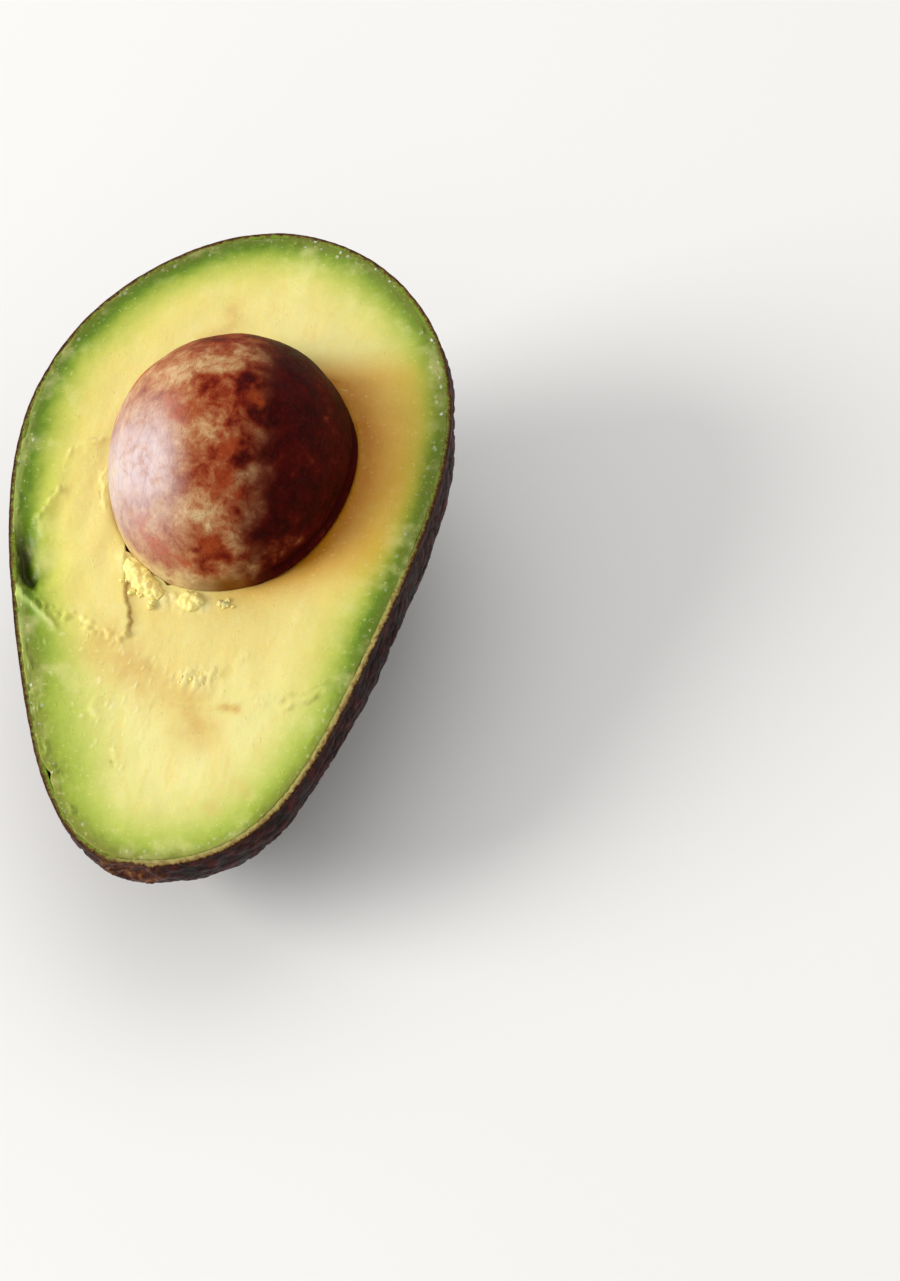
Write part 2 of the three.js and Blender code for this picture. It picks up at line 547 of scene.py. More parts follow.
def stone_material():
    """Papery brown coat: cream and rust patches on brown, dark maroon to one side that is partly
    painted shade, a paler side partly painted light, and a waxy lavender film partly painted sheen.
    """
    s = Shader("stone_coat")
    where = s.place()
    big = s.noise(8.0, where, detail=5.0, rough=0.62, distortion=0.6)
    blot = s.noise(2.4, where, detail=6.0, rough=0.65, distortion=0.4)
    tone = s.plus(s.times(big, 0.45), s.times(blot, 0.55))
    tone = s.plus(tone, s.times(s.attribute("pale"), 0.12))
    tone = s.math("SUBTRACT", tone, s.times(s.attribute("maroon"), 0.12))
    light = s.ramp(
        tone,
        [
            (0.32, (72, 8, 4)),
            (0.4, (116, 28, 12)),
            (0.47, (146, 60, 30)),
            (0.54, (166, 96, 58)),
            (0.61, (190, 138, 92)),
            (0.7, (212, 178, 130)),
        ],
    )
    dark = s.ramp(
        tone,
        [
            (0.38, (42, 2, 1)),
            (0.5, (64, 4, 2)),
            (0.58, (80, 9, 4)),
            (0.66, (112, 42, 20)),
            (0.76, (166, 118, 70)),
        ],
    )
    # paler on the left: partly the coat's own paler tone, partly painted light on the side the
    # light falls on
    pale_lit_side = s.ramp(
        tone,
        [
            (0.32, (122, 46, 24)),
            (0.4, (150, 74, 40)),
            (0.47, (176, 108, 68)),
            (0.54, (194, 138, 94)),
            (0.61, (210, 166, 120)),
            (0.7, (226, 196, 150)),
        ],
    )
    base = s.mix(s.attribute("pale_lit_side"), light, pale_lit_side)
    base = s.mix(s.attribute("shade"), base, dark)
    soft = s.band(s.noise(1.7, where, detail=5.0, rough=0.65), 0.4, 0.6, 0.25, 0.9)
    # russet patches and the smear are also lighter on the painted-light side
    russet = s.mix(s.attribute("pale_lit_side"), (158, 64, 26), (190, 94, 54))
    base = s.mix(s.times(s.attribute("rust"), soft), base, russet)
    fibre = s.noise(0.8, s.place((1.6, 0.35, 1.6)), detail=4.0, rough=0.7, distortion=1.5)
    base = s.mix(s.band(fibre, 0.5, 0.68, 0.0, 0.3), base, (96, 40, 28))
    # a pale lavender film on the left, partly a painted sheen, broken into patches
    wax = s.band(s.noise(2.6, where, detail=6.0, rough=0.65), 0.3, 0.54, 0.5, 1.0)
    bloom_and_sheen = s.times(s.attribute("bloom_and_sheen"), wax)
    base = s.mix(s.times(bloom_and_sheen, 0.82), base, (224, 208, 211))
    veins = s.cells(3.4, "DISTANCE_TO_EDGE", s.place((1.0, 0.55, 1.0)))
    vein = s.times(s.band(veins, 0.0, 0.06, 0.2, 0.0), s.attribute("bloom_and_sheen"))
    base = s.mix(vein, base, (150, 108, 100))
    base = s.mix(s.attribute("lip"), base, (52, 3, 2))
    smear = s.attribute("smear")
    smear = s.times(smear, s.band(s.noise(2.0, where, detail=4.0), 0.3, 0.5, 0.35, 1.0))
    base = s.mix(smear, base, s.mix(s.attribute("pale_lit_side"), (132, 80, 22), (226, 198, 144)))
    s.set(Base_Color=base)
    s.set(Roughness=s.band(blot, 0.3, 0.7, 0.42, 0.6))
    s.set(Coat_Weight=s.times(bloom_and_sheen, 0.45), Coat_Roughness=0.3, Specular_IOR_Level=0.04)
    folds = s.noise(1.4, s.place((1.5, 0.5, 1.5)), detail=6.0, rough=0.7, distortion=0.8)
    wrinkle = s.bump(folds, 0.34)
    s.set(Normal=s.bump(s.noise(0.35, detail=3.0), 0.04, after=wrinkle))
    return s.material


def skin_material():
    """Leathery skin, nearly black with maroon tops and painted shade in the crevices between them,
    an olive-tan cut edge and a corky stem scar.
    """
    s = Shader("skin_leather")
    pebble = s.attribute("pebble")
    tint = s.ramp(
        s.noise(7.0, detail=4.0),
        [(0.3, (32, 6, 4)), (0.45, (48, 7, 4)), (0.58, (36, 8, 4)), (0.7, (58, 10, 5))],
    )
    top = s.mix(s.band(s.noise(2.2), 0.45, 0.65, 0.0, 0.6), tint, (82, 14, 8))
    # crevices between pebbles are painted near black as painted shade; the pebble tops are maroon
    base = s.mix(s.band(pebble, 0.15, 0.85), (15, 3, 2), top)
    speck = s.times(s.band(s.cells(3.4), 0.05, 0.12, 1.0, 0.0), 0.7)
    base = s.mix(speck, base, (96, 46, 22))
    corky = s.ramp(
        s.noise(1.3, detail=5.0, rough=0.7),
        [(0.36, (32, 9, 4)), (0.48, (64, 25, 12)), (0.58, (104, 58, 30)), (0.68, (150, 108, 64))],
    )
    base = s.mix(s.attribute("scar"), base, corky)
    grit = s.times(s.math("SUBTRACT", s.noise(0.7, detail=4.0, rough=0.7), 0.5), 1.5)
    inward = s.plus(s.attribute("across"), grit)
    thin = s.ramp(
        inward,
        [
            (0.08, (64, 36, 18)),
            (0.3, (84, 58, 26)),
            (0.45, (112, 104, 42)),
            (0.62, (124, 140, 52)),
            (0.9, (116, 146, 40)),
        ],
    )
    tan = s.ramp(
        inward,
        [
            (0.05, (60, 32, 16)),
            (0.2, (116, 88, 46)),
            (0.4, (150, 132, 74)),
            (0.7, (174, 160, 98)),
            (0.95, (150, 152, 76)),
        ],
    )
    edge = s.mix(s.attribute("tan"), thin, tan)
    brown = s.band(s.noise(1.0, detail=4.0, rough=0.7), 0.5, 0.62, 0.0, 0.55)
    edge = s.mix(brown, edge, (104, 74, 34))
    base = s.mix(s.attribute("edge"), base, edge)
    s.set(Base_Color=base)
    s.set(Roughness=s.band(s.noise(1.5, detail=4.0), 0.3, 0.7, 0.36, 0.56))
    s.set(Specular_IOR_Level=0.075)
    coarse = s.bump(s.noise(0.8, detail=5.0, rough=0.65), 0.2)
    s.set(Normal=s.bump(s.cells(0.42), 0.05, after=coarse))
    return s.material


def floor_material():
    """Plain pale floor."""
    s = Shader("floor_pale")
    s.set(Base_Color=s.mix(s.noise(160.0), (240, 240, 239), (244, 243, 242)))
    s.set(Roughness=0.85, Specular_IOR_Level=0.2)
    return s.material


# ------------------------------------------------------------------ skin
SKIN_COLUMNS = 560
SKIN_ROWS = 124
SKIN_EDGE_ROWS = 8
# rows of the inner wall near the rim, and of the rest of the inside, hidden by the flesh
SKIN_WALL_ROWS = 12
SKIN_DEEP_ROWS = 16
SCAR_CENTRE = np.array([0.5, -54.0, -2.5])
SCAR_RADIUS = 5.0


def pebbled(points):
    """Height in mm and tone 0..1 of the pebbles that cover the skin."""
    bend = warp(points, 3.0, 101)
    near, second = cells(points + 0.7 * bend, 2.5, 11)
    dome = np.clip(1.0 - near * near * 1.5, 0.0, 1.0)
    crease = smooth(0.0, 0.3, second - near)
    small, small_next = cells(points + 0.4 * bend, 1.15, 12)
    grit = smooth(0.0, 0.4, small_next - small)
    strength = 0.75 + 0.6 * noise(points, 11.0, 13)
    tone = 0.55 * dome + 0.45 * crease
    height = strength * (0.5 * (tone - 0.6) + 0.1 * (grit - 0.6))
    height += 0.4 * noise(points, 10.0, 14) + 0.18 * noise(points, 5.0, 15)
    return height, np.clip(0.75 * tone + 0.25 * grit, 0.0, 1.0)


def scar_shape(points):
    """Height in mm and mask of the corky ring where the stem came off."""
    r = np.linalg.norm(points - SCAR_CENTRE, axis=1) / SCAR_RADIUS
    r = r + 0.18 * noise(points, 2.2, 31)
    mask = 1.0 - smooth(0.75, 1.25, r)
    ring = bell(r - 0.8, 0.22)
    rough = layered(points, 1.6, 32, 3)
    return 0.45 * ring - 0.5 * (1.0 - smooth(0.2, 0.7, r)) + 0.35 * mask * rough, mask


def tan_share(points):
    """1 where the skin's cut edge shows broad and tan, on the right of the neck."""
    return smooth(-6.0, 4.0, points[..., 0]) * smooth(6.0, -14.0, points[..., 1])


def make_skin():
    """The whole skin in one closed mesh: outside, cut edge and inside."""
    turn = full_turn(SKIN_COLUMNS)
    rim = rim_drop(turn)
    outer, normal = bowl_rings(turn, rim, np.linspace(0.012, 1.0, SKIN_ROWS))
    flat = outer.reshape(-1, 3)
    height, tone = pebbled(flat)
    scar_height, scar = scar_shape(flat)
    below_rim = -flat[:, 2]
    calm = 0.2 + 0.8 * smooth(0.0, 3.0, below_rim)
    total = height * calm * (1.0 - 0.7 * scar) + scar_height
    outer = (flat + total[:, None] * normal.reshape(-1, 3)).reshape(outer.shape)

    inside_share = np.r_[
        np.linspace(1.0, 0.86, SKIN_WALL_ROWS), np.linspace(0.8, 0.02, SKIN_DEEP_ROWS)
    ]
    inner = bowl_rings(turn, rim, inside_share, SKIN_THICKNESS)[0]

    # the cut edge, a narrow granular shelf between the outside and the inner wall
    across = (np.arange(SKIN_EDGE_ROWS) + 1.0) / (SKIN_EDGE_ROWS + 1.0)
    part = across[:, None, None]
    edge = outer[-1][None] * (1.0 - part) + inner[0][None] * part
    bulge = 0.05 * np.sin(math.pi * np.repeat(across, SKIN_COLUMNS))
    grain = 0.22 * layered(edge.reshape(-1, 3), 1.1, 41, 3)
    edge[..., 2] += (bulge + grain).reshape(edge.shape[:2])

    grid = np.concatenate([outer, edge, inner])
    names = ("pebble", "scar", "edge", "across")
    fields = {name: np.zeros(grid.shape[:2]) for name in names}
    worn = 0.6 * smooth(0.7, 0.0, below_rim)
    for name, values in (("pebble", tone), ("scar", scar), ("edge", worn)):
        fields[name][:SKIN_ROWS] = values.reshape(SKIN_ROWS, SKIN_COLUMNS)
    fields["edge"][SKIN_ROWS:] = 1.0
    edge_end = SKIN_ROWS + SKIN_EDGE_ROWS
    fields["across"][SKIN_ROWS:edge_end] = across[:, None]
    fields["across"][edge_end:] = 1.0
    fields["tan"] = tan_share(grid)
    return ring_mesh("skin_shell", grid, fields, skin_material())


# ------------------------------------------------------------------ flesh
FLESH_COLUMNS = 560
FACE_ROWS = 112
# tears, folds and marks in the cut face
NOTCH = [(-30.0, -2.0), (-29.2, -6.2), (-28.3, -9.2), (-26.4, -11.9), (-23.6, -13.7)]
LIP = [(-27.8, -12.4), (-26.4, -14.0), (-24.3, -15.3), (-21.8, -16.9), (-18.6, -20.1)]
CRACK = [(-12.2, -6.4), (-11.4, -9.0), (-10.8, -11.2), (-9.9, -13.6), (-8.7, -16.3), (-8.4, -18.9)]
PLATE_FOOT = [
    (-8.4, -18.9), (-10.3, -19.7), (-13.7, -18.5), (-16.7, -17.2), (-20.0, -16.6), (-23.5, -15.2),
]
PLATE_REST = [(-28.0, -13.0), (-36.0, -6.0), (-36.0, 20.0), (-15.0, 20.0), (-12.8, -2.0)]
PLATE = CRACK + PLATE_FOOT[1:] + PLATE_REST
CREASE = [(-3.7, -22.0), (-0.6, -24.4), (3.1, -25.3), (5.6, -23.2), (9.9, -19.4)]
KNIFE_LINE = [
    (-18.6, -28.7), (-7.1, -29.1), (3.4, -28.6), (9.9, -28.1),
    (12.7, -25.7), (18.3, -24.6), (25.0, -20.7),
]
# line and rise, mm
TEARS = [
    ([(-20.4, 13.8), (-22.6, 12.7), (-24.2, 12.2), (-25.3, 10.6), (-26.4, 8.2)], 0.5),
    ([(-24.2, 5.2), (-25.5, 3.4), (-26.3, 1.2), (-27.0, -0.8), (-28.3, -3.2)], 0.7),
    ([(-18.6, 9.4), (-19.4, 6.5), (-18.3, 3.6), (-17.7, 0.4)], 0.28),
    ([(-11.6, -29.4), (-10.4, -31.4), (-9.2, -33.4)], 0.22),
    ([(-6.4, -36.4), (-5.6, -38.2), (-4.6, -40.0)], 0.2),
    ([(11.5, -27.4), (15.0, -25.9), (18.6, -24.2)], 0.2),
    ([(16.0, -27.2), (20.0, -25.0), (24.2, -21.8)], 0.22),
]
# line, reach in mm and strength
STAINS = [
    ([(-11.5, -21.3), (-7.0, -23.3), (-3.5, -25.3), (2.4, -27.6), (5.0, -31.5)], 3.6, 0.85),
    ([(-9.6, 32.8), (-6.6, 34.4), (-5.6, 36.6), (-6.9, 38.8)], 1.3, 0.6),
    ([(8.2, -27.9), (10.4, -28.3)], 0.6, 0.9),
    ([(13.0, -39.6), (14.6, -40.6)], 1.2, 0.35),
    ([(9.6, -43.4), (10.8, -44.2)], 1.0, 0.35),
]
# where the flesh has come away from the skin: place and reach along y, and width
GAP_CENTRE_Y = -42.4
GAP_REACH = 1.9
GAP_WIDTH = 0.6
# play between flesh and skin, and between flesh and stone
SKIN_PLAY = 0.03
STONE_PLAY = 0.01
HOLLOW_PLAY = 0.05
# openings beside the stone: angle about its centre, reach in radians and width
STONE_GAPS = [(-2.24, 0.035, 0.5), (-1.8, 0.03, 0.4)]


def face_height(x, y, rim_mm, stone_mm):
    """Height of the cut face over the cut plane, and the masks that its material reads."""
    p = np.stack([x, y, np.zeros_like(x)], 1)
    h = 0.26 * noise(p, 15.0, 51) + 0.14 * noise(p, 6.0, 52) + 0.07 * noise(p, 3.2, 50)
    torn = smooth(-6.0, -22.0, y + 0.35 * x) * 0.7 + smooth(-14.0, -24.0, x) * 0.6
    torn = np.clip(torn + 0.35 * noise(p, 8.0, 53), 0.1, 1.0)
    h += torn * 0.06 * layered(p * np.array([1.0, 0.7, 1.0]), 1.5, 54, 3)
    h += 0.02 * layered(p, 1.0, 55, 2)

    # torn marks wander a little off their lines
    wx = x + 0.6 * noise(p, 3.0, 58) + 0.3 * noise(p, 1.0, 59)
    wy = y + 0.6 * noise(p, 3.0, 60) + 0.3 * noise(p, 1.0, 62)
    lumps = smooth(0.25, 0.8, 1.0 - cells(p, 1.1, 71)[0])

    hollow_shade = np.zeros_like(x)
    pale = np.zeros_like(x)
    # a deep notch torn at the left rim, with painted shade in and around its hollow
    d, t, side = path_distance(wx, wy, NOTCH)
    along = smooth(0.0, 0.45, t) * (1.0 - smooth(0.8, 1.0, t))
    pit = np.exp(-(d / np.where(side > 0, 2.4, 0.6)) ** 1.5) * along
    halo = bell(d, np.where(side > 0, 3.2, 0.8)) * along
    h -= 1.6 * pit + 0.5 * along * bell(d, 4.0) * (side > 0)
    hollow_shade += 0.6 * smooth(0.4, 0.9, pit) + 0.45 * halo

    # the lip of flesh below it, with a painted highlight along its lower side
    d, t, side = path_distance(wx, wy, LIP)
    ends = smooth(0.0, 0.2, t) * (1.0 - smooth(0.7, 1.0, t))
    h += 0.6 * ends * bell(d, np.where(side > 0, 0.45, 1.5))
    pale += 0.65 * ends * (side < 0) * bell(d - 0.4, 0.45)

    # a plate of flesh that stands up at its right and lower edges; the crack and the strip right of
    # it carry painted shadow from the plate
    within = inside(wx, wy, PLATE)
    d, t, _ = path_distance(wx, wy, CRACK)
    foot = path_distance(wx, wy, PLATE_FOOT)[0]
    edge = np.minimum(d, foot)
    h += within * (0.34 * np.exp(-d / 3.5) + 0.3 * np.exp(-foot / 2.5)) * smooth(0.0, 0.2, edge)
    h += 0.5 * bell(foot - 0.2, 0.6) * (lumps - 0.2)
    seam = bell(d, 0.26) * smooth(0.0, 0.1, t) * (1.0 - smooth(0.85, 1.0, t))
    h -= 0.14 * seam * (1.0 - 0.6 * t)
    beside = bell(d, 1.1) * ~within * (1.0 - smooth(0.7, 1.0, t)) * smooth(0.0, 0.1, t)
    hollow_shade += 0.5 * seam + 0.4 * beside

    # a crease in the neck with a cluster of small lumps
    d, t, _ = path_distance(wx, wy, CREASE)
    cluster = bell(np.hypot((x - 3.2) / 2.9, (y + 24.2) / 1.7), 1.0)
    h += 0.22 * bell(d, 0.6) * lumps - 0.3 * bell(d, 0.9) * (1.0 - smooth(0.15, 0.4, t))
    h += 0.55 * cluster * lumps
    pale += 0.6 * cluster * lumps

    # the step where the knife changed course
    d, _, side = path_distance(wx, wy, KNIFE_LINE)
    h += 0.16 * smooth(-0.25, 0.25, side * d) * np.exp(-d / 3.0) - 0.12 * bell(d, 0.25)

    for line, rise in TEARS:
        d, t, side = path_distance(wx, wy, line)
        ends = smooth(0.0, 0.25, t) * (1.0 - smooth(0.75, 1.0, t))
        step = smooth(-0.3, 0.3, side * d) * np.exp(-d / 2.2)
        ridge = bell(d, 0.4) * (0.3 + 0.7 * lumps)
        h += 0.8 * rise * ends * (step + 0.9 * ridge)
        # a painted highlight along each torn ridge
        pale += 0.3 * ends * ridge * lumps
        # a painted shadow line at the foot of each tear
        foot_line = bell(side * d + 0.5, 0.22)
        hollow_shade += 0.5 * ends * foot_line * smooth(0.0, 0.3, noise(p, 2.0, 73))

    # mashed flesh heaped against the stone
    for line, width, _ in HEAPS:
        mound = bell(path_distance(wx, wy, line)[0], 0.9 * width)
        h += mound * (0.2 + 0.25 * lumps)
        pale += 0.5 * mound
    # fine nicks down the left of the neck, with painted glints on them
    nicked = smooth(-17.0, -22.0, y) * smooth(-44.0, -40.0, y)
    nicked = nicked * smooth(1.0, -6.0, x) * smooth(1.0, 4.0, rim_mm)
    nicks = nicked * smooth(0.42, 0.7, layered(p * np.array([1.0, 0.55, 1.0]), 0.95, 85, 2))
    h += 0.15 * nicks
    pale += 0.5 * nicks
    # soft folds down the left flank
    folded = smooth(-12.0, -18.0, x) * smooth(-16.0, -8.0, y) * smooth(18.0, 10.0, y)
    h += 0.5 * folded * noise(p * np.array([1.0, 0.3, 1.0]), 3.6, 86)

    # rounded where the flesh dives to the stone, but for the neck side where it clings
    clings = smooth(-6.0, -8.5, y) * smooth(-15.0, -12.0, x) * smooth(10.0, 6.0, x)
    h += (0.55 * clings - 0.25) * np.exp(-stone_mm / 0.5)

    # raised nicks and beads under the skin, with painted glints on them
    shoulder = smooth(-6.0, 4.0, x) * smooth(18.0, 26.0, y)
    flank = smooth(-20.0, -26.0, y) * smooth(-6.0, -12.0, x)
    upper = smooth(-28.0, -31.0, x) * smooth(16.0, 10.0, y)
    zone = np.clip(0.25 + shoulder + flank + upper, 0.0, 1.0)
    centre = 1.2 - 0.6 * smooth(-5.0, -20.0, x) - 0.8 * shoulder
    belt = bell(rim_mm - centre, 0.55) * zone
    nick = smooth(0.05, 0.5, layered(p, 1.5, 81, 3))
    h += belt * (0.4 * nick - 0.06) * smooth(-0.15, 0.25, rim_mm)
    pale += 0.3 * belt * smooth(0.35, 0.9, nick) * smooth(0.1, 0.45, noise(p, 1.1, 84))
    bead_glint = zone * bell(rim_mm - centre, 0.8) * (1.0 - smooth(0.05, 0.3, hollow_shade))

    stain = np.zeros_like(x)
    for line, reach, amount in STAINS:
        stain += amount * bell(path_distance(wx, wy, line)[0], reach)
    # amber in the lee of the stone: partly riper flesh, partly a painted shadow cast by the stone,
    # darkest next to it
    lee = y - 0.25 * x
    ripe_and_shadow = 1.2 * np.exp(-stone_mm / 10.5) * smooth(-3.0, 9.0, x)
    ripe_and_shadow = ripe_and_shadow * smooth(32.0, 24.0, lee) * smooth(-17.0, -4.0, lee) * smooth(0.0, 5.5, rim_mm)
    neck = np.maximum(smooth(-12.0, -32.0, y), 0.4 * shoulder)
    masks = dict(hollow_shade=hollow_shade, stain=stain, ripe_and_shadow=ripe_and_shadow, neck=neck, bead_glint=bead_glint, pale=pale)
    return h, {name: np.clip(mask, 0.0, 1.0) for name, mask in masks.items()}


def outline_distance(x, y, outline):
    """Shortest distance from each point to a dense closed outline, in slices to save memory."""
    out = np.empty(len(x))
    for start in range(0, len(x), DISTANCE_SLICE):
        part = slice(start, start + DISTANCE_SLICE)
        dx = x[part, None] - outline[None, :, 0]
        dy = y[part, None] - outline[None, :, 1]
        out[part] = np.sqrt((dx * dx + dy * dy).min(1))
    return out


def make_flesh():
    """The flesh in one closed mesh: its outside, the cut face and the hollow for the stone."""
    turn = full_turn(FLESH_COLUMNS)
    rim = rim_drop(turn)
    # the outside of the flesh, hidden against the skin but for its top
    share = np.r_[np.linspace(0.02, 0.8, 12), np.linspace(0.84, 1.0, 12)]
    wall, normal = bowl_rings(turn, rim, share, SKIN_THICKNESS + SKIN_PLAY)
    # it has come away from the skin on the left of the neck
    near_gap = bell(wall[..., 1] - GAP_CENTRE_Y, GAP_REACH) * (wall[..., 0] < -4.0)
    near_gap = near_gap * smooth(-9.0, -1.0, wall[..., 2])
    wall = wall - (GAP_WIDTH * near_gap)[..., None] * normal

    outline = wall[-1, :, :2]
    centre = STONE_CENTRE[:2]
    angle = np.arctan2(outline[:, 1] - centre[1], outline[:, 0] - centre[0])
    loose = np.zeros_like(angle)
    for at, reach, extra in STONE_GAPS:
        loose += extra * bell(angle - at, reach)
    contact = contact_radius(angle) + STONE_PLAY + loose
    ring = np.stack([np.cos(angle), np.sin(angle)], 1)
    inner = centre + contact[:, None] * ring
    # rows from rim to stone, closer together at both
    f = np.linspace(0.0, 1.0, FACE_ROWS)
    f = (f - 0.08 * np.sin(2.0 * math.pi * f))[:, None, None]
    face = outline[None] * (1.0 - f) + inner[None] * f
    flat = face.reshape(-1, 2)
    rim_mm = outline_distance(flat[:, 0], flat[:, 1], outline)
    to_centre = flat - centre
    stone_edge = contact_radius(np.arctan2(to_centre[:, 1], to_centre[:, 0]))
    stone_mm = np.maximum(np.hypot(*to_centre.T) - stone_edge, 0.0)
    height, masks = face_height(flat[:, 0], flat[:, 1], rim_mm, stone_mm)
    # the green reaches further in on the left of the neck than on its right
    lean = smooth(-10.0, -28.0, flat[:, 1]) * np.clip(flat[:, 0] / 20.0, -1.0, 1.0)
    lean = np.where(lean < 0.0, 1.6 * lean, lean)
    green_mm = rim_mm * (1.0 + 0.28 * lean)
    # the flesh spreads raggedly over the inner part of the skin's cut edge
    outward = normal[-1, :, :2]
    outward = outward / np.linalg.norm(outward, axis=1, keepdims=True)
    ragged = layered(np.column_stack([outline, np.zeros(FLESH_COLUMNS)]), 1.8, 87, 4)
    spread = np.clip(0.35 + 0.25 * ragged, 0.0, 0.65)
    near_rim = np.exp(-rim_mm / 0.4).reshape(face.shape[:2])
    # a painted highlight in a narrow band along the left rim
    lit = smooth(-16.0, -25.0, flat[:, 0]) * smooth(24.0, 12.0, flat[:, 1]) * bell(rim_mm, 0.7)
    masks["pale"] = np.clip(masks["pale"] + 0.3 * lit, 0.0, 1.0)
    bare = tan_share(outline)
    face = face + (near_rim * spread * (1.0 - 0.9 * bare))[..., None] * outward
    level = height.reshape(face.shape[:2]) + near_rim * (0.02 - 0.14 * bare)
    face = np.dstack([face, level])

    # the hollow under the stone
    sink = np.r_[np.linspace(0.06, 0.4, 8), np.linspace(0.5, 1.5, 9)]
    hollow = np.empty((len(sink), FLESH_COLUMNS, 3))
    for i, a in enumerate(sink):
        hollow[i, :, :2] = centre + ring * ((contact + HOLLOW_PLAY) * math.cos(a))[:, None]
        hollow[i, :, 2] = -0.6 - (0.5 * STONE_WIDTH) * math.sin(a)

    # the outside stays just under the face where the two meet
    wall[-3:, :, 2] -= 0.12
    grid = np.concatenate([wall, face, hollow])
    on_face = slice(len(wall), len(wall) + FACE_ROWS)
    in_hollow = {"rim_mm": 20.0, "hollow_shade": 0.6, "ripe_and_shadow": 0.6}
    fields = {}
    for name, values in {"rim_mm": green_mm, **masks}.items():
        fields[name] = np.full(grid.shape[:2], in_hollow.get(name, 0.0))
        fields[name][: len(wall)] = 0.0
        fields[name][on_face] = values.reshape(FACE_ROWS, FLESH_COLUMNS)
    return ring_mesh("flesh_half", grid, fields, flesh_material())


# ------------------------------------------------------------------ stone
STONE_COLUMNS = 320
STONE_ROWS = 200
# soft patches of the coat: x, y, z from the stone's centre and radius, mm
PALE_PATCHES = [
    (-1.1, 8.6, 17.1, 3.2), (-5.9, 5.3, 17.1, 2.6), (3.6, 11.0, 15.7, 2.4),
    (1.0, -2.8, 18.2, 2.2), (0.6, -14.4, 13.2, 3.2), (3.8, -15.2, 11.9, 2.4),
    (7.0, -9.2, 14.8, 1.7), (8.6, -12.8, 11.5, 2.3), (6.8, -16.0, 9.6, 2.2),
    (13.1, -13.7, 4.2, 2.4), (10.1, -17.1, 3.2, 2.6), (4.7, -20.0, 3.2, 2.6),
    (-1.4, -20.8, 2.1, 2.6), (-14.8, -7.5, 8.4, 2.4), (-15.5, 4.0, 9.0, 3.0),
    (-12.0, 12.0, 9.0, 3.0), (2.0, 18.0, 8.0, 1.6), (14.5, 6.5, 9.0, 1.0),
]
RUST_PATCHES = [
    (-4.2, -0.8, 18.0, 2.6), (-6.1, 0.8, 17.5, 2.0), (-8.3, -15.7, 8.7, 1.8),
    (-6.2, -17.8, 7.5, 2.3), (-3.7, -19.3, 6.2, 2.2), (4.2, -5.8, 17.0, 1.6),
    (3.7, -10.9, 15.0, 2.0), (6.1, -12.2, 13.5, 1.2), (3.0, -17.7, 9.3, 2.0),
    (-0.9, -20.0, 5.5, 1.6), (6.0, 2.5, 17.5, 1.5), (-13.0, 9.0, 10.0, 2.6),
    (-2.0, 16.0, 11.5, 2.4),
]
MAROON_PATCHES = [
    (-0.7, 4.2, 18.3, 1.5), (4.5, 4.8, 17.6, 2.0), (6.2, -5.7, 16.4, 1.7),
    (9.5, -15.0, 8.4, 2.0), (11.7, -12.6, 8.5, 1.8), (10.8, -10.0, 11.8, 1.7),
    (6.2, -13.6, 12.2, 0.9), (7.6, 0.4, 16.6, 2.4), (0.9, -18.9, 8.4, 1.0),
    (-9.0, 13.5, 9.0, 2.0),
]


def patched(points, patches, seed):
    """How far each point lies inside any of the ragged patches, 0..1."""
    moved = points + 1.5 * warp(points, 3.0, seed) + 0.7 * warp(points, 1.1, seed + 5)
    field = np.zeros(len(points))
    for x, y, z, radius in patches:
        d = np.linalg.norm(moved - np.array([x, y, z]), axis=1)
        field = np.maximum(field, 1.0 - smooth(0.35 * radius, 1.5 * radius, d))
    return field


